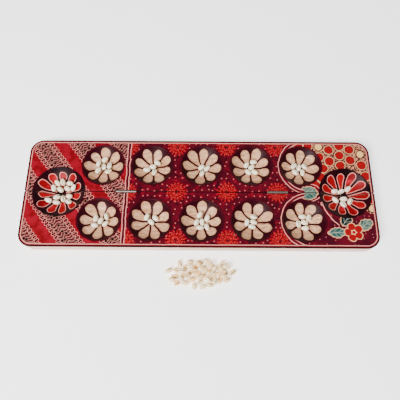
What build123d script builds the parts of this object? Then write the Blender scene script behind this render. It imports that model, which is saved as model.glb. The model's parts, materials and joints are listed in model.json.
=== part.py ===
from build123d import *
import math
import os
import random

# A folding mancala board with five pits a side, a store at each end and shell counters.
# Millimetres. +X runs along the seam to the right, +Y to the back row, +Z up.
# The origin is at the middle of the open board's underside.

# Board
LENGTH = 520.0
WIDTH = 168.0
THICK = 22.0
SEAM_GAP = 0.3
CORNER_R = 20.0
SEAM_CORNER_R = 2.0
EDGE_R = 0.8

# Pits and stores: bowls with a spherical floor
PITS = 5
PIT_R = 31.5
PIT_DEPTH = 13.5
PIT_PITCH = 74.8
ROW_OFFSET = 43.3
STORE_R = 38.0
STORE_DEPTH = 15.0
STORE_OFFSET = 213.0
FIELD_SHIFT = 4.0

# Butt hinges let into the seam, with the barrel proud of the playing face
HINGE_LENGTH = 30.0
HINGE_DEPTH = 15.0
LEAF_THICK = 1.0
LEAF_CORNER_R = 2.0
BARREL_R = 2.1
GROOVE_R = 2.35
GROOVE_END_GAP = 0.8
MID_KNUCKLE = 13.8
KNUCKLE_GAP = 0.2
PIN_R = 0.8
PIN_PROUD = 0.3
PIN_PLAY = 0.06
PIVOT_Z = THICK + SEAM_GAP / 2
LEAF_TOP = PIVOT_Z - GROOVE_R
LEAF_BOTTOM = THICK - HINGE_DEPTH

# Countersunk wood screws
SCREW_HEAD_R = 1.9
SCREW_SHANK_R = 0.95
SCREW_LENGTH = 9.0
SCREW_TIP = 2.0
SCREW_SPACING = 18.0
SCREW_SLOT = 0.5
SCREW_Z = (LEAF_TOP + LEAF_BOTTOM) / 2

# Shell counters: egg-shaped, blunt behind and narrow in front
SEED_BACK = 4.6
SEED_FRONT = 6.4
SEED_R = 3.8
SEED_GAP = 0.3
FRONT_COUNTS = (5, 3, 6, 4, 5)
BACK_COUNTS = (6, 4, 3, 5, 5)
LEFT_STORE_COUNTS = {"front": 6, "back": 7}
RIGHT_STORE_COUNTS = {"front": 4, "back": 3}

# Loose counters heaped in front of the board
HEAP_COUNT = 46
HEAP_CENTRE = (3.0, -118.0)
HEAP_HALF_LENGTH = 47.0
HEAP_HALF_WIDTH = 19.5
HEAP_STEEPNESS = 6.0

# Dropping the counters: how far from a bowl's middle they may land, the arm over which a
# counter's tilt is read, how many places are tried for each, and the random seed
PIT_REACH = 13.0
STORE_REACH = (26.0, 24.0)
TILT_ARM = 3.0
TRIES = 240
SCATTER_SEED = 24

SIDES = {"front": -1, "back": 1}
HINGE_X = {
    "left": FIELD_SHIFT - 1.5 * PIT_PITCH,
    "right": FIELD_SHIFT + 1.5 * PIT_PITCH,
}
PIT_X = [FIELD_SHIFT + (i - (PITS - 1) / 2) * PIT_PITCH for i in range(PITS)]
STORE_X = {"left": FIELD_SHIFT - STORE_OFFSET, "right": FIELD_SHIFT + STORE_OFFSET}

os.makedirs("parts", exist_ok=True)


def save(part, name):
    part.label = name
    export_step(part, f"parts/{name}.step")


def bowl_radius(rim, depth):
    """Radius of the sphere whose cap has this rim and depth."""
    return (rim**2 + depth**2) / (2 * depth)


# Hinges


def screw_blanks(hinge_x, side):
    """Two countersunk screws, driven level into one half through its leaf."""
    with BuildPart() as blanks:
        for end in (-1, 1):
            head = (hinge_x + end * SCREW_SPACING / 2, side * SEAM_GAP / 2, SCREW_Z)
            with BuildSketch(Plane(origin=head, x_dir=(1, 0, 0), z_dir=(0, 0, side))):
                with BuildLine():
                    Polyline(
                        (0, 0),
                        (SCREW_HEAD_R, 0),
                        (SCREW_SHANK_R, LEAF_THICK),
                        (SCREW_SHANK_R, SCREW_LENGTH - SCREW_TIP),
                        (0, SCREW_LENGTH),
                        close=True,
                    )
                make_face()
            revolve(axis=Axis(head, (0, side, 0)))
    return blanks.part


def slotted_screws(blanks, hinge_x, side):
    """The same screws with a driving slot across each head."""
    with BuildPart() as screws:
        add(blanks)
        for end in (-1, 1):
            with Locations((hinge_x + end * SCREW_SPACING / 2, side * SEAM_GAP / 2, SCREW_Z)):
                Box(2 * SCREW_HEAD_R + 1, 2 * SCREW_SLOT, SCREW_SLOT, mode=Mode.SUBTRACT)
    return screws.part


def hinge_leaf(hinge_x, side, spans, bore_r, blanks):
    """A flat leaf with the knuckles that it carries on each x span."""
    with BuildPart() as leaf:
        leaf_y = side * (SEAM_GAP + LEAF_THICK) / 2
        with Locations((hinge_x, leaf_y, (LEAF_TOP + LEAF_BOTTOM) / 2)):
            Box(HINGE_LENGTH, LEAF_THICK, LEAF_TOP - LEAF_BOTTOM)
        fillet(leaf.edges().filter_by(Axis.Y).group_by(Axis.Z)[0], LEAF_CORNER_R)
        for start, end in spans:
            with BuildSketch(Plane.YZ.offset(start)):
                with Locations((leaf_y, (LEAF_TOP + PIVOT_Z) / 2)):
                    Rectangle(LEAF_THICK, PIVOT_Z - LEAF_TOP)
                with Locations((0, PIVOT_Z)):
                    Circle(BARREL_R)
                    Circle(bore_r, mode=Mode.SUBTRACT)
            extrude(amount=end - start)
        add(blanks, mode=Mode.SUBTRACT)
    return leaf.part


def hinge_pin(hinge_x):
    """A plain pin with eased ends, a little proud of the barrel."""
    length = HINGE_LENGTH + 2 * PIN_PROUD
    with BuildPart() as pin:
        with BuildSketch(Plane.YZ.offset(hinge_x - length / 2)):
            with Locations((0, PIVOT_Z)):
                Circle(PIN_R)
        extrude(amount=length)
        chamfer(pin.edges().filter_by(GeomType.CIRCLE), PIN_PROUD / 2)
    return pin.part


hinges = {}
for place, hinge_x in HINGE_X.items():
    outer = HINGE_LENGTH / 2
    inner = MID_KNUCKLE / 2
    outer_spans = [
        (hinge_x - outer, hinge_x - inner - KNUCKLE_GAP),
        (hinge_x + inner + KNUCKLE_GAP, hinge_x + outer),
    ]
    mid_span = [(hinge_x - inner, hinge_x + inner)]
    for half, side in SIDES.items():
        blanks = screw_blanks(hinge_x, side)
        if half == "front":
            leaf = hinge_leaf(hinge_x, side, outer_spans, PIN_R, blanks)
        else:
            leaf = hinge_leaf(hinge_x, side, mid_span, PIN_R + PIN_PLAY, blanks)
        hinges[place, half] = (leaf, blanks)
        save(leaf, f"{place}_hinge_{half}_leaf")
        save(slotted_screws(blanks, hinge_x, side), f"{place}_hinge_{half}_screws")
    save(hinge_pin(hinge_x), f"{place}_hinge_pin")


# Board halves


def board_half(half):
    """One half of the board: pits, half of each store, and the hinge mortises."""
    side = SIDES[half]
    depth = (WIDTH - SEAM_GAP) / 2
    with BuildPart() as board:
        with BuildSketch() as outline:
            with Locations((0, side * (SEAM_GAP + depth) / 2)):
                Rectangle(LENGTH, depth)
            by_distance = outline.vertices().sort_by(Axis.Y, reverse=side > 0)
            fillet(by_distance[:2], CORNER_R)
            at_seam = outline.vertices().sort_by(Axis.Y, reverse=side < 0)
            fillet(at_seam[:2], SEAM_CORNER_R)
        extrude(amount=THICK)

        pit_r = bowl_radius(PIT_R, PIT_DEPTH)
        with Locations(*[(x, side * ROW_OFFSET, THICK - PIT_DEPTH + pit_r) for x in PIT_X]):
            Sphere(pit_r, mode=Mode.SUBTRACT)
        store_r = bowl_radius(STORE_R, STORE_DEPTH)
        with Locations(*[(x, 0, THICK - STORE_DEPTH + store_r) for x in STORE_X.values()]):
            Sphere(store_r, mode=Mode.SUBTRACT)
        fillet(board.faces().filter_by(Axis.Z).edges(), EDGE_R)

        for place, hinge_x in HINGE_X.items():
            leaf, blanks = hinges[place, half]
            with Locations((hinge_x, 0, PIVOT_Z)):
                groove = HINGE_LENGTH + 2 * GROOVE_END_GAP
                Cylinder(GROOVE_R, groove, rotation=(0, 90, 0), mode=Mode.SUBTRACT)
            add(leaf, mode=Mode.SUBTRACT)
            add(blanks, mode=Mode.SUBTRACT)
    return board.part


for half in SIDES:
    save(board_half(half), f"{half}_half")


# Shell counters

with BuildPart() as seed:
    with BuildSketch(Plane.XY):
        with BuildLine():
            EllipticalCenterArc((0, 0), SEED_BACK, SEED_R, start_angle=90, arc_size=90)
            EllipticalCenterArc((0, 0), SEED_FRONT, SEED_R, start_angle=0, arc_size=90)
            Line((-SEED_BACK, 0), (SEED_FRONT, 0))
        make_face()
    revolve(axis=Axis.X)


def inner_balls(length, count):
    """Balls (offset, radius) that fill one end of a seed, for finding where seeds touch."""
    focus = length**2 - SEED_R**2
    offsets = [focus / length * step / count for step in range(1, count + 1)]
    return [(offset, SEED_R * math.sqrt(1 - offset**2 / focus)) for offset in offsets]


SEED_BALLS = [(0.0, SEED_R)]
SEED_BALLS += inner_balls(SEED_FRONT, 4)
SEED_BALLS += [(-offset, ball_r) for offset, ball_r in inner_balls(SEED_BACK, 2)]


def bowl_floor(bowl_x, bowl_y, rim, depth):
    """Lowest centre height of a ball that lies in a bowl, or None off the bowl."""
    sphere_r = bowl_radius(rim, depth)
    centre_z = THICK - depth + sphere_r

    def floor(x, y, ball_r):
        reach = (sphere_r - ball_r - SEED_GAP) ** 2 - (x - bowl_x) ** 2 - (y - bowl_y) ** 2
        if reach <= 0:
            return None
        return centre_z - math.sqrt(reach)

    return floor


def half_bowl_floor(bowl_x, side, rim, depth):
    """The same for the half of a store that lies on one side of the seam."""
    whole = bowl_floor(bowl_x, 0, rim, depth)

    def floor(x, y, ball_r):
        if side * y < ball_r + SEAM_GAP:
            return None
        return whole(x, y, ball_r)

    return floor


def table_floor(x, y, ball_r):
    """A flat table that the board and the heap stand on."""
    return ball_r


def try_seed(x, y, heading, floor, placed):
    """Balls of a seed let down at x, y until it rests, or None where it can't lie."""
    run = (math.cos(heading), math.sin(heading))
    tail = floor(x - TILT_ARM * run[0], y - TILT_ARM * run[1], SEED_R)
    nose = floor(x + TILT_ARM * run[0], y + TILT_ARM * run[1], SEED_R)
    if tail is None or nose is None:
        return None
    tilt = math.atan2(nose - tail, 2 * TILT_ARM)
    base_z = 0.0
    offsets = []
    for along, ball_r in SEED_BALLS:
        ball_x = x + along * run[0] * math.cos(tilt)
        ball_y = y + along * run[1] * math.cos(tilt)
        ball_dz = along * math.sin(tilt)
        rest = floor(ball_x, ball_y, ball_r)
        if rest is None:
            return None
        base_z = max(base_z, rest - ball_dz)
        for other_x, other_y, other_z, other_r in placed:
            apart = (ball_r + other_r + SEED_GAP) ** 2
            apart -= (ball_x - other_x) ** 2 + (ball_y - other_y) ** 2
            if apart > 0:
                base_z = max(base_z, other_z + math.sqrt(apart) - ball_dz)
        offsets.append((ball_x, ball_y, ball_dz, ball_r))
    return base_z, tilt, [(bx, by, base_z + dz, br) for bx, by, dz, br in offsets]


def scatter(count, centre, half_size, floor, steepness, rng):
    """Locations of seeds dropped one by one, each into the lowest of the places tried."""
    placed = []
    locations = []
    while len(locations) < count:
        best = None
        for _ in range(TRIES):
            spread = math.sqrt(rng.random())
            turn = rng.uniform(0, 2 * math.pi)
            heading = rng.uniform(0, 2 * math.pi)
            x = centre[0] + half_size[0] * spread * math.cos(turn)
            y = centre[1] + half_size[1] * spread * math.sin(turn)
            found = try_seed(x, y, heading, floor, placed)
            if found is None:
                continue
            score = found[0] + steepness * spread**2
            if best is None or score < best[0]:
                best = (score, x, y, heading, found)
        _, x, y, heading, (base_z, tilt, balls) = best
        placed += balls
        turn = Rot(Z=math.degrees(heading)) * Rot(Y=-math.degrees(tilt))
        locations.append(Pos(x, y, base_z) * turn)
    return locations


def seed_group(name, locations):
    """Loose seeds that are lifted out together, each its own solid."""
    with BuildPart() as group:
        with Locations(*locations):
            add(seed.part)
    save(group.part, name)
    print(name, "seeds", len(group.solids()), "top", round(group.part.bounding_box().max.Z, 2))


rng = random.Random(SCATTER_SEED)
for half, counts in (("front", FRONT_COUNTS), ("back", BACK_COUNTS)):
    for number, (x, count) in enumerate(zip(PIT_X, counts), start=1):
        y = SIDES[half] * ROW_OFFSET
        floor = bowl_floor(x, y, PIT_R, PIT_DEPTH)
        places = scatter(count, (x, y), (PIT_REACH, PIT_REACH), floor, 0, rng)
        seed_group(f"{half}_pit_{number}_seeds", places)

for place, counts in (("left", LEFT_STORE_COUNTS), ("right", RIGHT_STORE_COUNTS)):
    for half, count in counts.items():
        floor = half_bowl_floor(STORE_X[place], SIDES[half], STORE_R, STORE_DEPTH)
        places = scatter(count, (STORE_X[place], 0), STORE_REACH, floor, 0, rng)
        seed_group(f"{place}_store_{half}_seeds", places)

heap_size = (HEAP_HALF_LENGTH, HEAP_HALF_WIDTH)
heap = scatter(HEAP_COUNT, HEAP_CENTRE, heap_size, table_floor, HEAP_STEEPNESS, rng)
seed_group("spare_seeds", heap)
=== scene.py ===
import bpy
import json
import math
import random
import numpy as np
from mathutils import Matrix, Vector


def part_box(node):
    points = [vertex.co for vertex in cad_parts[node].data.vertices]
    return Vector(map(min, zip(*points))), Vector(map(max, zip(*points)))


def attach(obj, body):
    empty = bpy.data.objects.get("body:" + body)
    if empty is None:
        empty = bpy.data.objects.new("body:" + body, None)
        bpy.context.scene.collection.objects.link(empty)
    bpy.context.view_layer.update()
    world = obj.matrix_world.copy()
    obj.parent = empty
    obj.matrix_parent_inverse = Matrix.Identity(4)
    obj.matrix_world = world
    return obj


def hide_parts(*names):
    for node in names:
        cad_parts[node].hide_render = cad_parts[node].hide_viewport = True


# A folding mancala board: hand-painted wood, plated hinges and shell counters.
# The CAD nodes keep their shapes and get materials. Each group of counters is replaced by one
# piece that has a detailed shell at every solid. The scene is in metres. The painting is laid
# out in millimetres on the board's own axes: x along the seam, y to the back, z up.

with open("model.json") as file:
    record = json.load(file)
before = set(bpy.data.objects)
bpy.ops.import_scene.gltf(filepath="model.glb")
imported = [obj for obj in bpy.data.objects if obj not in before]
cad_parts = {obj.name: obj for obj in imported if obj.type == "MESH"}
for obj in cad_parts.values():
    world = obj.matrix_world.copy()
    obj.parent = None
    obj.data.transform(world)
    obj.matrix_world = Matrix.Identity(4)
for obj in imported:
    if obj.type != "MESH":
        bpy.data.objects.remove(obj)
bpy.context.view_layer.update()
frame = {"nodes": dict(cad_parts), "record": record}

MM = 0.001
NODES = frame["nodes"]
BODY_OF = {
    node: body
    for body, nodes in frame["record"]["behaviour"]["bodies"].items()
    for node in nodes
}

# The board's measures, taken from the frame, in millimetres
FRONT_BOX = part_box("front_half")
BACK_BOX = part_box("back_half")
BOARD_LENGTH = (FRONT_BOX[1][0] - FRONT_BOX[0][0]) / MM
BOARD_WIDTH = (BACK_BOX[1][1] - FRONT_BOX[0][1]) / MM
BOARD_TOP = FRONT_BOX[1][2] / MM
OPENINGS = {opening["name"]: opening["box_m"] for opening in frame["record"]["physics"]["openings"]}
PITS = 5


def opening_centre(name, axis):
    low, high = OPENINGS[name]
    return (low[axis] + high[axis]) / 2 / MM


PIT_XS = [opening_centre(f"back_pit_{number}", 0) for number in range(1, PITS + 1)]
PIT_Y = opening_centre("back_pit_1", 1)
PITCH = PIT_XS[1] - PIT_XS[0]
MID_X = PIT_XS[PITS // 2]
LEFT_STORE_X = opening_centre("left_store_back", 0)
RIGHT_STORE_X = opening_centre("right_store_back", 0)

# Radii of the bowls' rims and of the board's corners
PIT_RIM = 31.5
STORE_RIM = 38.0
CORNER = 20.0


def srgb(red, green, blue):
    """Linear RGBA of an sRGB colour given as 0 to 255."""
    def linear(value):
        value /= 255
        return value / 12.92 if value <= 0.04045 else ((value + 0.055) / 1.055) ** 2.4
    return (linear(red), linear(green), linear(blue), 1.0)


# Dyes and waxes of the painting
NEAR_BLACK = srgb(20, 2, 6)
DARK_MAROON = srgb(42, 2, 12)
GARDEN_MAROON = srgb(62, 2, 20)
MAROON = srgb(68, 3, 18)
BURGUNDY = srgb(92, 5, 24)
CRIMSON = srgb(138, 10, 30)
DARK_RED = srgb(110, 5, 14)
BRIGHT_RED = srgb(148, 2, 12)
LIVELY_RED = srgb(174, 5, 20)
SPECK_RED = srgb(216, 84, 76)
ROSE = srgb(204, 24, 48)
DOT_PINK = srgb(196, 92, 92)
WAX_PINK = srgb(240, 150, 138)
WAX_CREAM = srgb(244, 176, 128)
DISC_CREAM = srgb(244, 190, 120)
NET_BROWN = srgb(206, 136, 104)
TAUPE = srgb(146, 92, 82)
LEAF_TEAL = srgb(18, 72, 68)
LEAF_GREY = srgb(104, 120, 106)
DEEP_TEAL = srgb(3, 32, 36)
LEAF_VEIN = srgb(150, 158, 140)

# Wood
PETAL_LIGHT = srgb(246, 196, 156)
PETAL_DARK = srgb(176, 124, 90)
PETAL_STAIN = srgb(150, 92, 66)
SIDE_WOOD = srgb(240, 208, 190)
SIDE_GRAIN = srgb(190, 146, 120)
SIDE_STAIN = srgb(176, 96, 96)

# Hardware, shells and paper
NICKEL = srgb(122, 112, 106)
STEEL = srgb(150, 148, 146)
BOWL_SHELL = (srgb(255, 250, 232), srgb(255, 240, 206), srgb(244, 216, 172))
HEAP_SHELL = (srgb(255, 238, 190), srgb(255, 214, 146), srgb(214, 146, 86))
SHELL_SPOT = srgb(244, 206, 180)
# Painted shade for the shells' slits: dark browns stand for the shadow in the opening
SLIT_SHADE_DARK = srgb(60, 42, 28)
SLIT_SHADE_LIGHT = srgb(112, 84, 58)
PAPER_LIGHT = srgb(250, 250, 250)
PAPER_DARK = srgb(245, 245, 245)
WHITE = (1.0, 1.0, 1.0, 1.0)


# Painting by arithmetic on coordinates

CRISP = 0.5  # width over which most painted edges fade


class Field:
    """A number that varies over a surface. Arithmetic on it adds Math nodes to its tree."""

    def __init__(self, tree, socket):
        self.tree = tree
        self.socket = socket

    def calc(self, operation, *others, clamp=False):
        node = self.tree.nodes.new("ShaderNodeMath")
        node.operation = operation
        node.use_clamp = clamp
        for entry, value in zip(node.inputs, (self, *others)):
            wire(self.tree, entry, value)
        return Field(self.tree, node.outputs[0])

    def __add__(self, other):
        return self.calc("ADD", other)

    def __sub__(self, other):
        return self.calc("SUBTRACT", other)

    def __rsub__(self, other):
        return self.calc("MULTIPLY_ADD", -1.0, other)

    def __mul__(self, other):
        return self.calc("MULTIPLY", other)

    def __truediv__(self, other):
        return self.calc("DIVIDE", other)

    def __abs__(self):
        return self.calc("ABSOLUTE")

    def min(self, other):
        return self.calc("MINIMUM", other)

    def max(self, other):
        return self.calc("MAXIMUM", other)

    def sin(self):
        return self.calc("SINE")

    def cos(self):
        return self.calc("COSINE")

    def floor(self):
        return self.calc("FLOOR")

    def nearest_whole(self):
        return (self + 0.5).floor()

    def angle(self, x):
        """Angle of the point (x, self)."""
        return self.calc("ARCTAN2", x)

    def ramp(self, low, high):
        """0 below low, 1 above high and even between them."""
        slope = 1 / (high - low)
        return self.calc("MULTIPLY_ADD", slope, -low * slope, clamp=True)

    def inside(self, soft=CRISP):
        """1 where this distance is negative, 0 where it is positive, with a soft edge."""
        return self.calc("MULTIPLY_ADD", -1 / soft, 0.5, clamp=True)

    def outside(self, soft=CRISP):
        """1 where this distance is positive, 0 where it is negative, with a soft edge."""
        return self.calc("MULTIPLY_ADD", 1 / soft, 0.5, clamp=True)

    def stroke(self, width, soft=CRISP):
        """1 on a line of this width along the distance's zero."""
        return (abs(self) - width / 2).inside(soft)


def wire(tree, entry, value):
    """Joins a plain value, a socket or a Field to a node's input."""
    if isinstance(value, Field):
        tree.links.new(value.socket, entry)
    elif isinstance(value, bpy.types.NodeSocket):
        tree.links.new(value, entry)
    else:
        entry.default_value = value


def hypot(x, y):
    return (x * x + y * y).calc("SQRT")


def vector_of(tree, x, y, z):
    node = tree.nodes.new("ShaderNodeCombineXYZ")
    for entry, value in zip(node.inputs, (x, y, z)):
        wire(tree, entry, value)
    return node.outputs[0]


def noise_node(tree, vector, scale, detail=2.0, roughness=0.5):
    node = tree.nodes.new("ShaderNodeTexNoise")
    tree.links.new(vector, node.inputs["Vector"])
    node.inputs["Scale"].default_value = scale
    node.inputs["Detail"].default_value = detail
    node.inputs["Roughness"].default_value = roughness
    return node


def noise(tree, vector, scale, detail=2.0, roughness=0.5):
    return Field(tree, noise_node(tree, vector, scale, detail, roughness).outputs["Fac"])


def voronoi(tree, vector, scale, randomness, feature="F1"):
    node = tree.nodes.new("ShaderNodeTexVoronoi")
    node.voronoi_dimensions = "2D"
    node.feature = feature
    tree.links.new(vector, node.inputs["Vector"])
    node.inputs["Scale"].default_value = scale
    node.inputs["Randomness"].default_value = randomness
    return Field(tree, node.outputs["Distance"])


CHANCE_LAYER = 0.37  # keeps the random numbers off the whole-number planes


def chance(tree, x, y):
    """A random number from 0 to 1 for each pair of whole numbers."""
    node = tree.nodes.new("ShaderNodeTexWhiteNoise")
    node.noise_dimensions = "3D"
    tree.links.new(vector_of(tree, x, y, CHANCE_LAYER), node.inputs["Vector"])
    return Field(tree, node.outputs["Value"])


def mix(tree, factor, low, high, blend="MIX"):
    """A colour between low and high."""
    node = tree.nodes.new("ShaderNodeMix")
    node.data_type = "RGBA"
    node.blend_type = blend
    wire(tree, node.inputs[0], factor)
    wire(tree, node.inputs[6], low)
    wire(tree, node.inputs[7], high)
    return node.outputs[2]


def new_material(name):
    """A material, its tree, its shader and the surface's own coordinates."""
    material = bpy.data.materials.new(name)
    material.use_nodes = True
    tree = material.node_tree
    coordinates = tree.nodes.new("ShaderNodeTexCoord")
    return material, tree, tree.nodes["Principled BSDF"], coordinates


def add_bump(tree, shader, height, strength, distance):
    node = tree.nodes.new("ShaderNodeBump")
    node.inputs["Strength"].default_value = strength
    node.inputs["Distance"].default_value = distance
    tree.links.new(height.socket, node.inputs["Height"])
    tree.links.new(node.outputs[0], shader.inputs["Normal"])


# A brush never runs quite true: all drawn shapes lie on a grid that wavers this much
WAVER_SCALE = 0.085
WAVER_REACH = 3.2


class Canvas:
    """The board's face: coordinates in millimetres, and the colour painted so far."""

    def __init__(self, tree, coordinates, side):
        self.tree = tree
        self.side = side
        scale = tree.nodes.new("ShaderNodeVectorMath")
        scale.operation = "SCALE"
        scale.inputs["Scale"].default_value = 1 / MM
        tree.links.new(coordinates.outputs["Object"], scale.inputs[0])
        self.point = scale.outputs[0]
        self.x, self.y, self.z = self.split(self.point)
        self.normal_z = self.split(coordinates.outputs["Normal"])[2]
        waver = noise_node(tree, self.point, WAVER_SCALE)
        shake_x, shake_y, _ = self.split(waver.outputs["Color"])
        self.hand_x = self.x + (shake_x - 0.5) * WAVER_REACH
        self.hand_y = self.y + (shake_y - 0.5) * WAVER_REACH
        self.hand = vector_of(tree, self.hand_x, self.hand_y, 0.0)
        self.colour = DARK_MAROON

    def split(self, vector):
        node = self.tree.nodes.new("ShaderNodeSeparateXYZ")
        self.tree.links.new(vector, node.inputs[0])
        return [Field(self.tree, output) for output in node.outputs]

    def paint(self, mask, colour):
        self.colour = mix(self.tree, mask, self.colour, colour)

    def distance_to(self, x, y):
        """Distance from the brush's point to x, y."""
        node = self.tree.nodes.new("ShaderNodeVectorMath")
        node.operation = "DISTANCE"
        self.tree.links.new(self.hand, node.inputs[0])
        node.inputs[1].default_value = (x, y, 0.0)
        return Field(self.tree, node.outputs["Value"])

    def blotches(self, scale, low, high):
        """Uneven dye, as a ramp of noise."""
        return noise(self.tree, self.point, scale, detail=3.0).ramp(low, high)

    def dots(self, scale, randomness, radius, soft, point=None):
        """Scattered dots: the scale is in cells to a millimetre, the radius in cells."""
        point = self.point if point is None else point
        found = voronoi(self.tree, point, scale, randomness)
        return (found - radius).inside(soft)


TEARDROP_OVERLAP = 0.4  # how far a petal's flanks run under its round end


def teardrop(along, across, near, far, near_radius, far_radius):
    """Distance to a petal that widens from a small end at near to a round end at far."""
    length = far - near
    slope = (far_radius - near_radius) / length
    rise = math.sqrt(1 - slope**2)
    flank = abs(across) * rise - (along - near) * slope - near_radius
    gate = (near - along).max(along - (far - slope * far_radius + TEARDROP_OVERLAP))
    tip = hypot(along - far, across) - far_radius
    return tip.min(flank.max(gate))


def polar_cell(angle, count, turn):
    """Which of count equal sectors an angle is in, and the angle from that sector's middle."""
    turns = angle * (count / (2 * math.pi)) + turn
    cell = turns.nearest_whole()
    bend = (turns - cell) * (2 * math.pi / count)
    return cell.calc("FLOORED_MODULO", float(count)), bend


def grain(tree, point, stretch, scale):
    """Fine streaks along the board."""
    node = tree.nodes.new("ShaderNodeVectorMath")
    node.operation = "MULTIPLY"
    node.inputs[1].default_value = (stretch, 1.0, 1.0)
    tree.links.new(point, node.inputs[0])
    return noise(tree, node.outputs[0], scale, detail=4.0, roughness=0.6)


WAX_LINE = 1.1  # width of the long drawn lines


# Left section: slanting red bands between bands of scrolls

BAND_SLANT = math.radians(51.5)
BAND_PERIOD = 48.7
BAND_START = 216.0
RED_HALF = 8.8  # half the width of a red band
SCROLL_RATE = 1.45  # turns of the strokes along a band
HOOK_RATE = 0.5
HOOK_SWING = 1.9
CURL_SCALE = 0.12
CURL_SWING = 9.0
EYE_SCALE = 0.105
EYE_RANDOMNESS = 0.75
EYE_RADIUS = 0.28  # in cells of the eyes' grid, as are the next two
EYE_PUPIL = 0.21
EYE_SOFT = 0.05
BORDER_WAVE = 6.4  # one wave of a band's border lines
BORDER_SWING = 1.0
BORDER_NEAR = 0.9  # from the red band's edge to the first line
BORDER_FAR = 5.9  # and to the second
BORDER_DOTS = 3.5  # and to the row of dots between them
DOT_SPACING = 3.2
DOT_RADIUS = 0.5


def band_section(canvas):
    """Slanting crimson bands between bands of wax-drawn scrolls."""
    tree = canvas.tree
    across = canvas.hand_x * math.sin(BAND_SLANT) + canvas.hand_y * math.cos(BAND_SLANT)
    along = canvas.hand_x * math.cos(BAND_SLANT) - canvas.hand_y * math.sin(BAND_SLANT)
    turns = (across + BAND_START) / BAND_PERIOD
    offset = abs((turns - turns.nearest_whole()) * BAND_PERIOD)  # 0 in the middle of a red band
    inward = offset - RED_HALF

    # Scrolls: hooked strokes, and ringed eyes between them
    curl = noise(tree, canvas.hand, CURL_SCALE, detail=1.0)
    hook = (inward * HOOK_RATE).sin() * HOOK_SWING
    stroke = (along * SCROLL_RATE + hook + curl * CURL_SWING).sin()
    ground = mix(tree, canvas.blotches(scale=0.06, low=0.42, high=0.56), NEAR_BLACK, MAROON)
    pattern = mix(tree, stroke.ramp(low=0.15, high=0.6), ground, TAUPE)
    pattern = mix(tree, (abs(stroke - 0.5) - 0.08).inside(soft=0.2) * 0.8, pattern, WAX_PINK)
    eyes = voronoi(tree, canvas.hand, EYE_SCALE, EYE_RANDOMNESS)
    pattern = mix(tree, (eyes - EYE_RADIUS).inside(EYE_SOFT), pattern, TAUPE)
    pattern = mix(tree, (eyes - EYE_PUPIL).inside(EYE_SOFT), pattern, NEAR_BLACK)

    # Two waving lines along each edge, with a row of dots between them
    wave = (along * (2 * math.pi / BORDER_WAVE)).sin() * BORDER_SWING
    mark = abs((along * (2 * math.pi / BORDER_WAVE)).sin()) - 0.5
    border = mix(tree, mark.inside(), NEAR_BLACK, CRIMSON)
    far_line = inward - BORDER_FAR + wave
    pattern = mix(tree, far_line.inside(soft=0.6), pattern, border)
    pattern = mix(tree, far_line.stroke(width=0.7), pattern, WAX_PINK)
    step = along / DOT_SPACING
    dot = hypot((step - step.nearest_whole()) * DOT_SPACING, inward - BORDER_DOTS) - DOT_RADIUS
    pattern = mix(tree, dot.inside(), pattern, WAX_PINK)
    pattern = mix(tree, (inward - BORDER_NEAR - wave).stroke(width=0.9), pattern, WAX_PINK)

    red = mix(tree, canvas.blotches(scale=0.1, low=0.4, high=0.66), CRIMSON, DARK_RED)
    return mix(tree, (inward - 0.7 - wave).outside(), red, pattern)


# Middle section: a dotted ground with a rosette between every two pits

ROSETTE_ROW = 0.876 * BOARD_WIDTH / 2  # how far the outer rosettes lie from the seam
ROSETTE_ARMS = 16
ROSETTE_CORE = 8.6
ROSETTE_ARM = 5.4  # length of the arms beyond the core
ROSETTE_FRAY = 3.6
ROSETTE_HEART = 2.4
RING_RATE = 1.3
RING_SWING = 1.4


def rosette_section(canvas):
    """Dark ground with light dots and a bright rosette between every two pits."""
    tree = canvas.tree
    ground = mix(tree, canvas.blotches(scale=0.05, low=0.36, high=0.64), MAROON, BURGUNDY)
    ground = mix(tree, canvas.blotches(scale=0.2, low=0.5, high=0.64) * 0.8, ground, DARK_MAROON)
    ground = mix(tree, canvas.blotches(scale=0.15, low=0.56, high=0.68) * 0.6, ground, CRIMSON)
    ground = mix(tree, canvas.dots(scale=0.103, randomness=0.5, radius=0.1, soft=0.07), ground, DOT_PINK)

    cell = (canvas.hand_x - MID_X) / PITCH
    u = (cell - cell.floor() - 0.5) * PITCH
    v = abs(canvas.hand_y)
    v = v.min(abs(v - ROSETTE_ROW))
    reach = hypot(u, v)
    arms = abs((v.angle(u) * (ROSETTE_ARMS / 2)).sin())
    fray = noise(tree, canvas.point, scale=0.5) * ROSETTE_FRAY
    edge = reach - ROSETTE_CORE - arms * ROSETTE_ARM - fray
    flower = mix(tree, canvas.blotches(scale=0.3, low=0.4, high=0.6), BRIGHT_RED, LIVELY_RED)
    gaps = (arms - 0.45).inside(soft=0.4) * reach.ramp(low=3.5, high=8.0)
    flower = mix(tree, gaps * 0.9, flower, MAROON)
    rings = (reach * RING_RATE + arms * RING_SWING).sin()
    flower = mix(tree, (rings + 0.55).inside(soft=0.4) * 0.6, flower, MAROON)
    flower = mix(tree, (reach - ROSETTE_HEART).inside(soft=1.2), flower, MAROON)
    flower = mix(tree, canvas.dots(scale=0.3, randomness=0.9, radius=0.13, soft=0.12), flower, SPECK_RED)
    return mix(tree, edge.inside(soft=2.0), ground, flower)


# Right section, above: discs on a net. Each ring is (radius, soft edge, colour).

RED_DISCS = (
    (152, 79), (167, 76), (198, 70), (215, 77), (230, 71), (183, 58), (198, 51), (214, 61),
    (230, 53), (188, 39), (214, 44), (246, 45), (250, 27), (184, 24), (174, 12), (256, 8),
    (257, -10),
)
RED_RINGS = (
    (8.6, 0.5, NEAR_BLACK),
    (7.9, 0.5, WAX_CREAM),
    (6.9, 0.5, DARK_MAROON),
    (6.3, 0.6, BRIGHT_RED),
)
CREAM_DISCS = ((183, 75), (246, 63), (254, -24))
CREAM_RINGS = (
    (6.6, 0.5, NEAR_BLACK),
    (5.2, 0.7, DISC_CREAM),
)


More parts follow.
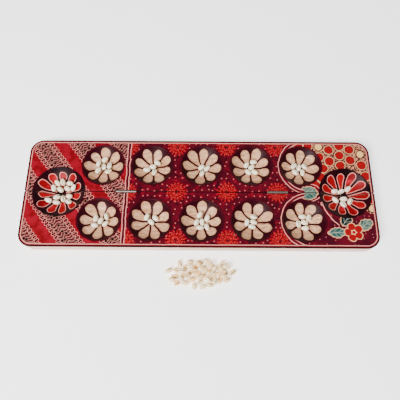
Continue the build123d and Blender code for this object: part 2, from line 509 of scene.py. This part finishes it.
def nearest(canvas, centres):
    """Distance to the nearest of the centres."""
    found = canvas.distance_to(*centres[0])
    for centre in centres[1:]:
        found = found.min(canvas.distance_to(*centre))
    return found


def net_ground(canvas):
    """A light net with dark dots, red discs ringed in cream and a few cream ones."""
    tree = canvas.tree
    net = canvas.dots(scale=0.30, randomness=0.8, radius=0.36, soft=0.14, point=canvas.hand)
    ground = mix(tree, net, NET_BROWN, NEAR_BLACK)
    walls = voronoi(tree, canvas.hand, scale=0.15, randomness=1.0, feature="DISTANCE_TO_EDGE")
    ground = mix(tree, (walls - 0.06).inside(soft=0.05), ground, MAROON)
    for centres, rings in ((RED_DISCS, RED_RINGS), (CREAM_DISCS, CREAM_RINGS)):
        distance = nearest(canvas, centres)
        for radius, soft, colour in rings:
            ground = mix(tree, (distance - radius).inside(soft), ground, colour)
    return ground


# Right section, below: leaves, a flower and stems.
# Each leaf is (x, y, turn in degrees, length, width, light colour, dark colour).

GARDEN_LEAVES = (
    (214, -42, 55, 22, 15, DEEP_TEAL, NEAR_BLACK),
    (198.5, -61, 4, 25, 14, LEAF_GREY, LEAF_TEAL),
    (241, -49, 28, 23, 15, LEAF_GREY, LEAF_TEAL),
)
LEAF_WAVES = 1.1
LEAF_SWING = 0.45
STEM_CENTRE = (243.0, 0.0)
STEM_RADIUS = 64.0
STEM_WIDTH = 1.3
STEM_END_X = (203.5, 202.5)  # the stem fades in across these
STEM_END_Y = (-14.0, -15.0)
CURL_CENTRE = (182.0, -17.5)
CURL_RADIUS = 3.0
CURL_WIDTH = 1.2
FLOWER_X = 223.0
FLOWER_Y = -60.0
FLOWER_PETALS = 5
FLOWER_REACH = 8.4  # to the middle of a petal
FLOWER_PETAL = 5.2  # radius of a petal
FLOWER_NOTCH = 0.8
FLOWER_OUTLINE = 1.1
FLOWER_RING = 3.4
FLOWER_HEART = 2.3


def leaf_shape(canvas, x, y, turn, length, width):
    """Distance to a pointed leaf, and its own coordinates along and across."""
    turn = math.radians(turn)
    right = canvas.hand_x - x
    back = canvas.hand_y - y
    u = right * math.cos(turn) + back * math.sin(turn)
    v = back * math.cos(turn) - right * math.sin(turn)
    radius = (length**2 / 4 + width**2 / 4) / width
    return hypot(u, abs(v) + (radius - width / 2)) - radius, u, v


def paint_leaf(canvas, colour, x, y, turn, length, width, light, dark):
    """A leaf outlined in wax, mottled from light to dark, with veins."""
    tree = canvas.tree
    shape, u, v = leaf_shape(canvas, x, y, turn, length, width)
    wavy = shape + (u * LEAF_WAVES).sin() * LEAF_SWING
    body = mix(tree, canvas.blotches(scale=0.16, low=0.4, high=0.6), light, dark)
    veins = ((u * 0.9 - abs(v) * 1.1).sin() - 0.72).outside(soft=0.3)
    body = mix(tree, veins * 0.5, body, LEAF_VEIN)
    body = mix(tree, v.stroke(width=0.8), body, LEAF_VEIN)
    colour = mix(tree, (wavy - 0.8).inside(), colour, WAX_CREAM)
    return mix(tree, (wavy + 0.1).inside(), colour, body)


def paint_blossom(canvas, colour):
    """A flower with notched petals, outlined in wax."""
    tree = canvas.tree
    u = canvas.hand_x - FLOWER_X
    v = canvas.hand_y - FLOWER_Y
    _, bend = polar_cell(v.angle(u), FLOWER_PETALS, 0.5)
    reach = hypot(u, v)
    along = reach * bend.cos() - FLOWER_REACH + abs(bend).inside() * FLOWER_NOTCH
    petal = hypot(along, reach * bend.sin()) - FLOWER_PETAL
    colour = mix(tree, (petal - FLOWER_OUTLINE).inside(), colour, WAX_CREAM)
    colour = mix(tree, petal.inside(), colour, BRIGHT_RED)
    colour = mix(tree, (reach - FLOWER_RING).inside(), colour, WAX_CREAM)
    return mix(tree, (reach - FLOWER_HEART).inside(), colour, BRIGHT_RED)


def garden_ground(canvas):
    """Dotted maroon with a flower, leaves, a stem and a curl."""
    tree = canvas.tree
    ground = mix(tree, canvas.blotches(scale=0.05, low=0.4, high=0.6), GARDEN_MAROON, BURGUNDY)
    ground = mix(tree, canvas.dots(scale=0.11, randomness=0.6, radius=0.08, soft=0.07), ground, DOT_PINK)
    stem = (canvas.distance_to(*STEM_CENTRE) - STEM_RADIUS).stroke(STEM_WIDTH)
    stem = stem * canvas.hand_x.ramp(*STEM_END_X) * canvas.hand_y.ramp(*STEM_END_Y)
    ground = mix(tree, stem, ground, WAX_PINK)
    curl = (canvas.distance_to(*CURL_CENTRE) - CURL_RADIUS).stroke(CURL_WIDTH)
    ground = mix(tree, curl, ground, WAX_PINK)
    for leaf in GARDEN_LEAVES:
        ground = paint_leaf(canvas, ground, *leaf)
    return paint_blossom(canvas, ground)


# Right section as a whole: the net lies behind a line that drops to the right

NET_EDGE_Y = 8.0
NET_DROP = 40.0
NET_DROP_X = (205.0, 250.0)
NET_LEFT_X = 172.0  # left of this the net's edge runs back steeply
NET_LEFT_SLOPE = 2.4
CHEVRON = (164, 0, 0, 38, 27)
CHEVRON_START_X = (163.0, 165.0)
MIDDLE_LEAF = (162, -0.5, 0, 29, 20, LEAF_GREY, LEAF_TEAL)


def right_section(canvas):
    """Right of the two arcs: net behind, garden in front, a leaf where the arcs meet."""
    tree = canvas.tree
    edge = canvas.hand_y - NET_EDGE_Y + canvas.hand_x.ramp(*NET_DROP_X) * NET_DROP
    edge = edge - ((NET_LEFT_X - canvas.hand_x) * NET_LEFT_SLOPE).max(0.0)
    colour = mix(tree, edge.inside(soft=0.8), net_ground(canvas), garden_ground(canvas))
    chevron, _, _ = leaf_shape(canvas, *CHEVRON)
    chevron = chevron.stroke(WAX_LINE) * canvas.hand_x.ramp(*CHEVRON_START_X)
    colour = mix(tree, chevron, colour, WAX_PINK)
    return paint_leaf(canvas, colour, *MIDDLE_LEAF)


# Flowers in the bowls. Each petal is (small end, round end, small radius, round radius).

PIT_PETALS = 8
PIT_PETAL = (4.8, 22.3, 0.7, 7.0)
PIT_SPREAD = 0.12  # share by which the petals' sizes differ
PIT_DYE = 1.6  # how far the dark dye runs past the rim
STORE_PETALS = 11
STORE_PETAL = (7.5, 28.6, 0.8, 6.1)
STORE_SPREAD = 0.16
STORE_DYE = 1.4
STORE_OUTLINE = 0.85
LEFT_STORE_TURN = 0.35  # in sectors, as is the next one
RIGHT_STORE_TURN = 0.1
PETAL_SCALE = 1.02


def petal_shape(canvas, u, v, count, turn, seed, spread, petal):
    """Distance to a ring of petals of uneven size, and each petal's random number."""
    reach = hypot(u, v)
    cell, bend = polar_cell(v.angle(u), count, turn)
    luck = chance(canvas.tree, cell, seed)
    scale = PETAL_SCALE - (luck - 0.5) * spread
    return teardrop(reach * bend.cos() * scale, reach * bend.sin() * scale, *petal), luck


def wooden_petals(canvas):
    """The ten pits: petals of bare wood, reserved in dark dye, each flower its own."""
    tree = canvas.tree
    last = float(PITS // 2)
    column = ((canvas.x - MID_X) / PITCH).nearest_whole().max(-last).min(last)
    u = canvas.hand_x - MID_X - column * PITCH
    v = canvas.hand_y - canvas.side * PIT_Y
    spin = chance(tree, column, canvas.side * 3.0 + 5.0)
    seed = column * 3.0 + canvas.side * 11.0
    petal, luck = petal_shape(canvas, u, v, PIT_PETALS, spin, seed, PIT_SPREAD, PIT_PETAL)
    streaks = grain(tree, canvas.point, stretch=0.12, scale=0.34).ramp(low=0.36, high=0.66)
    wood = mix(tree, streaks, PETAL_LIGHT, PETAL_DARK)
    wood = mix(tree, luck * 0.4, wood, PETAL_DARK)
    wood = mix(tree, (petal + 1.4).outside(soft=2.4) * 0.4, wood, PETAL_STAIN)
    canvas.paint((hypot(u, v) - PIT_RIM - PIT_DYE).inside(soft=1.0), DARK_MAROON)
    true_reach = hypot(canvas.x - MID_X - column * PITCH, canvas.y - canvas.side * PIT_Y)
    rim = (true_reach - PIT_RIM).stroke(width=1.6, soft=1.4)
    canvas.paint(rim * 0.7, MAROON)
    canvas.paint(petal.inside(), wood)


def store_petals(canvas, store_x, turn):
    """A store: red petals with a drawn outline on dark dye, running across the seam."""
    tree = canvas.tree
    u = canvas.hand_x - store_x
    v = canvas.hand_y
    petal, luck = petal_shape(
        canvas, u, v, STORE_PETALS, turn, store_x, STORE_SPREAD, STORE_PETAL
    )
    red = mix(tree, luck.ramp(low=0.55, high=1.0) * 0.8, BRIGHT_RED, DARK_RED)
    red = mix(tree, canvas.blotches(scale=0.07, low=0.54, high=0.7) * 0.7, red, ROSE)
    dark = mix(tree, canvas.blotches(scale=0.1, low=0.4, high=0.6), NEAR_BLACK, DARK_MAROON)
    canvas.paint((hypot(u, v) - STORE_RIM - STORE_DYE).inside(soft=1.0), dark)
    canvas.paint(petal.inside(), WAX_PINK)
    canvas.paint((petal + STORE_OUTLINE).inside(), red)


# Borders: distances in from the board's outline

FRAME_DYE = 4.8
FRAME_LINE = 3.5
FRAME_LINE_SWING = 0.9
FRAME_RED = 2.7
FRAME_BLACK = 1.9


def edge_lines(canvas):
    """A drawn line just inside the board's outline, and dark dye on the rounded edge."""
    qx = abs(canvas.x) - (BOARD_LENGTH / 2 - CORNER)
    qy = abs(canvas.y) - (BOARD_WIDTH / 2 - CORNER)
    outline = hypot(qx.max(0.0), qy.max(0.0)) + qx.max(qy).min(0.0) - CORNER
    swing = noise(canvas.tree, canvas.point, scale=0.06) * FRAME_LINE_SWING
    canvas.paint((outline + FRAME_DYE).outside(soft=0.6), MAROON)
    canvas.paint((outline + FRAME_LINE + swing).stroke(WAX_LINE), WAX_PINK)
    canvas.paint((outline + FRAME_RED).outside(soft=0.7), DARK_RED)
    canvas.paint((outline + FRAME_BLACK).outside(soft=0.7), NEAR_BLACK)


# Lines between the sections, for the front half (-1) and the back half (1). The two halves
# were drawn apart, so their lines miss each other a little at the seam.

DIVIDER_X = {-1: -108.8, 1: -107.4}
DIVIDER_WIDTH = 4.6
ARC_CENTRE = {-1: (161.5, -43.2), 1: (164.0, 42.4)}
ARC_RADIUS = {-1: 42.0, 1: 44.5}
ARC_FLAT = 2.0  # the arc turns into a straight line this far left of its centre
ARC_FADE_X = (157.0, 155.0)
ARC_MIDDLE = 2.6  # from the arc in to the middle of the dark line, and to the two light ones
ARC_OUTER = 0.2
ARC_INNER = 5.0
ARC_WIDTH = 4.2


def draw_sections(canvas):
    """The three sections of the face, with double lines between them."""
    tree = canvas.tree
    divider = canvas.hand_x - DIVIDER_X[canvas.side]
    canvas.colour = mix(tree, divider.outside(), band_section(canvas), rosette_section(canvas))
    canvas.paint(divider.stroke(DIVIDER_WIDTH), MAROON)
    canvas.paint((abs(divider) - DIVIDER_WIDTH / 2).stroke(WAX_LINE), WAX_PINK)

    arc_x, arc_y = ARC_CENTRE[canvas.side]
    arc = canvas.distance_to(arc_x, arc_y) - ARC_RADIUS[canvas.side]
    arc = arc.min(arc_x - ARC_FLAT - canvas.hand_x)
    canvas.paint(arc.inside(), right_section(canvas))
    left = canvas.hand_x.ramp(*ARC_FADE_X)
    canvas.paint((arc + ARC_MIDDLE).stroke(ARC_WIDTH) * left, BURGUNDY)
    canvas.paint((arc + ARC_OUTER).stroke(WAX_LINE) * left, WAX_PINK)
    canvas.paint((arc + ARC_INNER).stroke(WAX_LINE) * left, WAX_PINK)


STAIN_AND_SEAM_SHADE_DEPTH = 3.0  # how far the dye runs down the sides from the face, and the painted seam shade with it
STAIN_WAVER = 2.0
SEAM_FACE = 1.2  # half the width of the strip across the seam whose sides are painted black near the face, as shade in the gap
# half the width of the black painted shade along the seam on the face, standing for the dark of the gap
SEAM_SHADE_HALF_WIDTH = 0.6
FACE_EDGE = 1.2  # height of the rounded edge, painted with the face
LACQUER_ROUGHNESS = 0.3
LACQUER_VARIATION = 0.2
LACQUER_SPECULAR = 0.07


def bare_sides(canvas):
    """Bare wood, with dye run down from the face, and painted shade: the seam's sides black near the
    face.
    """
    tree = canvas.tree
    side_grain = grain(tree, canvas.point, stretch=0.03, scale=0.7).ramp(low=0.3, high=0.7)
    bare = mix(tree, side_grain, SIDE_WOOD, SIDE_GRAIN)
    waver = noise(tree, canvas.point, scale=0.12) * STAIN_WAVER
    stain_and_seam_shade = (canvas.z - BOARD_TOP + STAIN_AND_SEAM_SHADE_DEPTH + waver).ramp(low=0.0, high=STAIN_AND_SEAM_SHADE_DEPTH)
    bare = mix(tree, stain_and_seam_shade * 0.8, bare, SIDE_STAIN)
    # Painted shade: the seam's sides are coloured black near the face, as the gap between the halves
    # falls dark.
    seam_shade = (abs(canvas.y) - SEAM_FACE).inside()
    return mix(tree, stain_and_seam_shade * seam_shade, bare, NEAR_BLACK)


def painted_wood(side):
    """Lacquered, hand-painted wood for one half: side is -1 in front and 1 behind."""
    name = "painted_front" if side < 0 else "painted_back"
    material, tree, shader, coordinates = new_material(name)
    canvas = Canvas(tree, coordinates, side)
    draw_sections(canvas)
    wooden_petals(canvas)
    store_petals(canvas, LEFT_STORE_X, LEFT_STORE_TURN)
    store_petals(canvas, RIGHT_STORE_X, RIGHT_STORE_TURN)
    edge_lines(canvas)

    # Dye soaks in unevenly along the grain, and wears thin here and there.
    streaks = grain(tree, canvas.point, stretch=0.05, scale=1.1)
    painted = mix(tree, streaks.ramp(low=0.35, high=0.75) * 0.2, canvas.colour, NEAR_BLACK, "MULTIPLY")
    wear = noise(tree, canvas.point, scale=0.9, detail=5.0, roughness=0.7).ramp(low=0.68, high=0.8)
    painted = mix(tree, wear * 0.12, painted, PETAL_STAIN)
    # Painted shade: a black line along the seam, where the gap between the halves falls dark.
    painted = mix(tree, (abs(canvas.y) - SEAM_SHADE_HALF_WIDTH).inside(soft=0.3), painted, NEAR_BLACK)

    rounded_edge = (canvas.z - BOARD_TOP + FACE_EDGE).ramp(low=0.0, high=0.5)
    face = canvas.normal_z.ramp(low=0.25, high=0.55).max(rounded_edge)
    wire(tree, shader.inputs["Base Color"], mix(tree, face, bare_sides(canvas), painted))
    unevenness = noise(tree, canvas.point, scale=0.05, detail=3.0) * LACQUER_VARIATION
    wire(tree, shader.inputs["Roughness"], unevenness + LACQUER_ROUGHNESS)
    shader.inputs["Specular IOR Level"].default_value = LACQUER_SPECULAR
    add_bump(tree, shader, streaks, strength=0.25, distance=0.4 * MM)
    return material


SCRATCH_ROUGHNESS = 0.25
TARNISH_SHADE = 0.45  # of the plate's own colour


def plated_metal(name, tint, roughness):
    """Worn plate: fine scratches, tarnish in blotches."""
    material, tree, shader, coordinates = new_material(name)
    point = coordinates.outputs["Object"]
    scratches = grain(tree, point, stretch=1.0, scale=900.0)
    tarnish = noise(tree, point, scale=260.0, detail=4.0, roughness=0.6).ramp(low=0.5, high=0.75)
    dark = tuple(TARNISH_SHADE * value for value in tint[:3]) + (1.0,)
    wire(tree, shader.inputs["Base Color"], mix(tree, tarnish, tint, dark))
    wire(tree, shader.inputs["Roughness"], scratches * SCRATCH_ROUGHNESS + roughness)
    shader.inputs["Metallic"].default_value = 1.0
    add_bump(tree, shader, scratches, strength=0.3, distance=0.1 * MM)
    return material


SHELL_ROUGHNESS = 0.2
SHELL_BAND_ROUGHNESS = 0.3
SHELL_POLISH = 0.2


def shell_body(name, pale, warm, band):
    """Sea shell: each its own shade, with growth bands and a polish."""
    material, tree, shader, coordinates = new_material(name)
    point = coordinates.outputs["Object"]
    island = tree.nodes.new("ShaderNodeNewGeometry")
    shade = mix(tree, island.outputs["Random Per Island"], pale, warm)
    bands = noise(tree, point, scale=420.0, detail=3.0, roughness=0.6)
    shade = mix(tree, bands.ramp(low=0.48, high=0.7) * 0.6, shade, band)
    spots = noise(tree, point, scale=150.0).ramp(low=0.58, high=0.72)
    shade = mix(tree, spots * 0.5, shade, SHELL_SPOT)
    wire(tree, shader.inputs["Base Color"], shade)
    wire(tree, shader.inputs["Roughness"], bands * SHELL_BAND_ROUGHNESS + SHELL_ROUGHNESS)
    shader.inputs["Coat Weight"].default_value = SHELL_POLISH
    add_bump(tree, shader, bands, strength=0.35, distance=0.3 * MM)
    return material


def shell_mouth():
    """Painted shade in the slit of a shell: its groove is coloured dark brown, as if in shadow."""
    material, tree, shader, coordinates = new_material("shell_mouth")
    shade_mottle = noise(tree, coordinates.outputs["Object"], scale=500.0)
    wire(tree, shader.inputs["Base Color"], mix(tree, shade_mottle, SLIT_SHADE_DARK, SLIT_SHADE_LIGHT))
    shader.inputs["Roughness"].default_value = 0.7
    return material


# Shells. Heights, rises and depths are shares of the shell's half width, and places round the
# shell are angles from the middle of its underside, in radians.

SHELL_RINGS = 30
SHELL_SEGMENTS = 40
SHELL_BACK = 4.5 * MM
SHELL_FRONT = 6.3 * MM
SHELL_HALF_WIDTH = 3.7 * MM
SHELL_FULLNESS = 0.86  # below 1 is fuller than an ellipse
UPPER_HEIGHT = (0.92, 1.0)
LOWER_HEIGHT = (0.78, 0.9)
SWELL = 0.12  # how much wider one end may be than the other
SLIT_BEND = 0.10
SLIT_BEND_RATE = 2.4
SLIT_DEPTH = 0.34
SLIT_SPREAD = 0.17
LIP_RISE = 0.05
LIP_AT = 0.36
LIP_SPREAD = 0.16
RIB_RISE = 0.03
RIB_RATE = 26
RIB_SPREAD = 0.5
RIDGE_RISE = 0.018
RIDGE_RATE = 15
RIDGE_TWIST = 2
MOUTH_HALF = 0.2
MOUTH_MARGIN = 4  # rings at each end that the slit's painted shade leaves free
WELDS_PER_METRE = 1e5  # points nearer than this are one point
GIRTH_SHARE = 0.985
SLIT_UP_CHANCE = 0.35
SLIT_UP_SPREAD = 0.5
SLIT_DOWN_SPREAD = 0.7
SHELL_SEED = 5


def bell(offset, spread):
    """1 at no offset, falling to nothing beyond the spread."""
    return math.exp(-((offset / spread) ** 2))


def shell_mesh(rng):
    """Points and faces of one cowrie-like shell, blunt behind, with a toothed slit below."""
    dorsal = rng.uniform(*UPPER_HEIGHT)
    ventral = rng.uniform(*LOWER_HEIGHT)
    swell = rng.uniform(-SWELL, SWELL)
    points = []
    for ring in range(SHELL_RINGS + 1):
        turn = math.pi * ring / SHELL_RINGS
        along = -math.cos(turn)
        x = along * (SHELL_FRONT if along > 0 else SHELL_BACK)
        radius = SHELL_HALF_WIDTH * math.sin(turn) ** SHELL_FULLNESS
        for segment in range(SHELL_SEGMENTS):
            around = 2 * math.pi * segment / SHELL_SEGMENTS
            y = math.sin(around) * (1 + swell * along)
            z = -math.cos(around)
            z *= dorsal if z > 0 else ventral
            # The slit runs along the underside, curving, between two ribbed lips.
            off_slit = math.atan2(y - SLIT_BEND * math.sin(SLIT_BEND_RATE * along), -z)
            lip = LIP_RISE * bell(abs(off_slit) - LIP_AT, LIP_SPREAD)
            groove = SLIT_DEPTH * bell(off_slit, SLIT_SPREAD) * math.sin(turn) ** 0.5
            ribs = RIB_RISE * math.cos(along * RIB_RATE) * bell(off_slit, RIB_SPREAD)
            # Faint growth ridges wind round the whole shell.
            ridges = RIDGE_RISE * math.cos(along * RIDGE_RATE + around * RIDGE_TWIST)
            reach = radius * (1 + lip - groove + ribs) * (1 + ridges)
            points.append((x, y * reach, z * reach))
    faces = []
    mouths = []
    for ring in range(SHELL_RINGS):
        for segment in range(SHELL_SEGMENTS):
            after = (segment + 1) % SHELL_SEGMENTS
            faces.append((
                ring * SHELL_SEGMENTS + segment,
                (ring + 1) * SHELL_SEGMENTS + segment,
                (ring + 1) * SHELL_SEGMENTS + after,
                ring * SHELL_SEGMENTS + after,
            ))
            middle = 2 * math.pi * (segment + 0.5) / SHELL_SEGMENTS
            off_slit = min(middle, 2 * math.pi - middle)
            within = MOUTH_MARGIN <= ring < SHELL_RINGS - MOUTH_MARGIN
            mouths.append(off_slit < MOUTH_HALF and within)
    return np.array(points), faces, mouths


def solids_of(node):
    """The vertex positions of each separate solid in a CAD node."""
    mesh = NODES[node].data
    points = np.empty(len(mesh.vertices) * 3)
    mesh.vertices.foreach_get("co", points)
    points = points.reshape(-1, 3)
    edges = np.empty(len(mesh.edges) * 2, dtype=int)
    mesh.edges.foreach_get("vertices", edges)
    grid = np.round(points * WELDS_PER_METRE).astype(int)
    _, same = np.unique(grid, axis=0, return_inverse=True)
    same = same.ravel()
    edges = same[edges].reshape(-1, 2)
    label = np.arange(same.max() + 1)
    while True:
        lowest = np.minimum(label[edges[:, 0]], label[edges[:, 1]])
        updated = label.copy()
        np.minimum.at(updated, edges[:, 0], lowest)
        np.minimum.at(updated, edges[:, 1], lowest)
        updated = updated[updated]
        if (updated == label).all():
            break
        label = updated
    whole = label[same]
    return [points[whole == value] for value in np.unique(whole)]


def place_of(solid):
    """(middle of the widest girth, unit vector from the blunt end to the narrow end)."""
    centre = solid.mean(axis=0)
    spread = solid - centre
    _, vectors = np.linalg.eigh(spread.T @ spread)
    axis = vectors[:, 2]
    along = spread @ axis
    girth = np.linalg.norm(spread - np.outer(along, axis), axis=1)
    widest = along[girth > girth.max() * GIRTH_SHARE].mean()
    if along.max() - widest < widest - along.min():
        axis = -axis
        widest = -widest
    return centre + axis * widest, axis


def shells_for(node, materials, rng):
    """One piece that stands for a node of counters: a detailed shell at each solid."""
    all_points = []
    all_faces = []
    all_mouths = []
    for solid in solids_of(node):
        points, faces, mouths = shell_mesh(rng)
        centre, axis = place_of(solid)
        side = np.cross((0, 0, 1), axis)
        side /= np.linalg.norm(side)
        up = np.cross(axis, side)
        slit_up = rng.random() < SLIT_UP_CHANCE
        roll = math.pi + rng.gauss(0, SLIT_UP_SPREAD) if slit_up else rng.gauss(0, SLIT_DOWN_SPREAD)
        turned_side = side * math.cos(roll) + up * math.sin(roll)
        turned_up = up * math.cos(roll) - side * math.sin(roll)
        start = sum(len(block) for block in all_points)
        all_points.append(points @ np.array((axis, turned_side, turned_up)) + centre)
        all_faces += [tuple(start + corner for corner in face) for face in faces]
        all_mouths += mouths
    mesh = bpy.data.meshes.new(node.replace("seeds", "shells"))
    mesh.from_pydata(np.concatenate(all_points).tolist(), [], all_faces)
    # The slit's faces take the painted-shade material.
    mesh.polygons.foreach_set("material_index", [int(slit_shade) for slit_shade in all_mouths])
    mesh.polygons.foreach_set("use_smooth", [True] * len(all_faces))
    mesh.validate()
    piece = bpy.data.objects.new(mesh.name, mesh)
    bpy.context.collection.objects.link(piece)
    for material in materials:
        mesh.materials.append(material)
    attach(piece, BODY_OF[node])
    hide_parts(node)


def finish_node(node, material):
    for slot in NODES[node].material_slots:
        slot.material = material


# Assembly

for half, side in (("front", -1), ("back", 1)):
    finish_node(f"{half}_half", painted_wood(side))

nickel = plated_metal("worn_nickel", NICKEL, roughness=0.34)
steel = plated_metal("screw_steel", STEEL, roughness=0.32)
for node in NODES:
    if node.endswith(("_leaf", "_pin")):
        finish_node(node, nickel)
    elif node.endswith("_screws"):
        finish_node(node, steel)

bowl_shell = shell_body("shell_pale", *BOWL_SHELL)
heap_shell = shell_body("shell_warm", *HEAP_SHELL)
slit_shade = shell_mouth()
rng = random.Random(SHELL_SEED)
for node in sorted(NODES):
    if node.endswith("_seeds"):
        shells_for(node, (heap_shell if node == "spare_seeds" else bowl_shell, slit_shade), rng)


# Camera, light and floor, in metres and watts

FLOOR_REACH = 30.0
FLOOR_GLOW = 1.3
LIGHTS = (
    ("key", (-0.9, -1.0, 1.5), 0.7, 90.0),
    ("fill", (1.2, 0.8, 1.6), 1.6, 10.0),
)
WORLD_STRENGTH = 0.45
CAMERA_LENS = 37.2
CAMERA_SENSOR = 36.0
CAMERA_X = 0.0028
CAMERA_Y = -0.2106
CAMERA_ABOVE = 0.5765  # height over the board's face
CAMERA_PITCH = 18.95
CAMERA_YAW = 0.4


def add_floor():
    """A pale sheet that the board stands on."""
    material, tree, shader, coordinates = new_material("pale_paper")
    fibre = noise(tree, coordinates.outputs["Object"], scale=60.0, detail=3.0)
    wire(tree, shader.inputs["Base Color"], mix(tree, fibre, PAPER_LIGHT, PAPER_DARK))
    shader.inputs["Roughness"].default_value = 0.9
    shader.inputs["Emission Color"].default_value = WHITE
    shader.inputs["Emission Strength"].default_value = FLOOR_GLOW
    mesh = bpy.data.meshes.new("floor")
    signs = ((-1, -1), (1, -1), (1, 1), (-1, 1))
    corners = [(x * FLOOR_REACH, y * FLOOR_REACH, 0) for x, y in signs]
    mesh.from_pydata(corners, [], [(0, 1, 2, 3)])
    mesh.materials.append(material)
    floor = bpy.data.objects.new("floor", mesh)
    bpy.context.collection.objects.link(floor)


def add_light(name, place, size, watts):
    """A soft square light aimed at the middle of the board."""
    data = bpy.data.lights.new(name, "AREA")
    data.size = size
    data.energy = watts
    light = bpy.data.objects.new(name, data)
    light.location = place
    x, y, z = place
    light.rotation_euler = (math.atan2(math.hypot(x, y), z), 0, math.atan2(x, -y))
    bpy.context.collection.objects.link(light)


def add_camera():
    """The camera above and in front of the board, tipped down on to it."""
    data = bpy.data.cameras.new("camera")
    data.lens = CAMERA_LENS
    data.sensor_width = CAMERA_SENSOR
    camera = bpy.data.objects.new("camera", data)
    camera.location = (CAMERA_X, CAMERA_Y, CAMERA_ABOVE + BOARD_TOP * MM)
    camera.rotation_euler = (math.radians(CAMERA_PITCH), 0.0, math.radians(CAMERA_YAW))
    bpy.context.collection.objects.link(camera)
    bpy.context.scene.camera = camera


def add_world():
    """An even white surround."""
    world = bpy.data.worlds.new("studio")
    bpy.context.scene.world = world
    world.use_nodes = True
    background = world.node_tree.nodes["Background"]
    background.inputs["Color"].default_value = WHITE
    background.inputs["Strength"].default_value = WORLD_STRENGTH


add_floor()
for light in LIGHTS:
    add_light(*light)
add_camera()
add_world()
